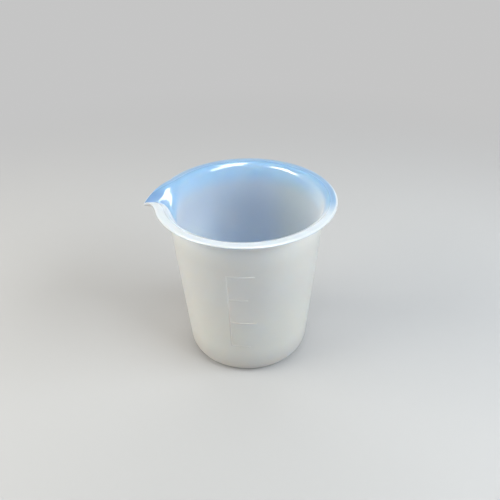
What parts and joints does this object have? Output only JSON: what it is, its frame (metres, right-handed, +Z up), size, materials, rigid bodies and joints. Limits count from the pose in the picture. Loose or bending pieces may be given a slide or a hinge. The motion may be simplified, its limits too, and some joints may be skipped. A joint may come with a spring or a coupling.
{
  "type": "plastic beaker",
  "caption": "Tapered translucent plastic beaker with a flared rim, one pouring spout and a raised volume scale on the wall.",
  "frame": {"origin": "centre of the flat rest face under the floor, on the cup's axis", "axes": "+Z up along the cup's axis, -X towards the tip of the pouring spout, -Y out through the volume scale"},
  "size_m": [0.0922, 0.085, 0.0849],
  "materials": {
    "natural_polypropylene": "milky translucent, satin outside and glossier inside and on the rim"
  },
  "bodies": {
    "root": {"floor": "natural_polypropylene", "heel": "natural_polypropylene", "side_wall": "natural_polypropylene", "rim": "natural_polypropylene", "pour_spout": "natural_polypropylene", "scale_stem": "natural_polypropylene", "scale_mark_50": "natural_polypropylene", "scale_mark_100": "natural_polypropylene", "scale_mark_150": "natural_polypropylene", "scale_mark_200": "natural_polypropylene"}
  },
  "joints": []
}
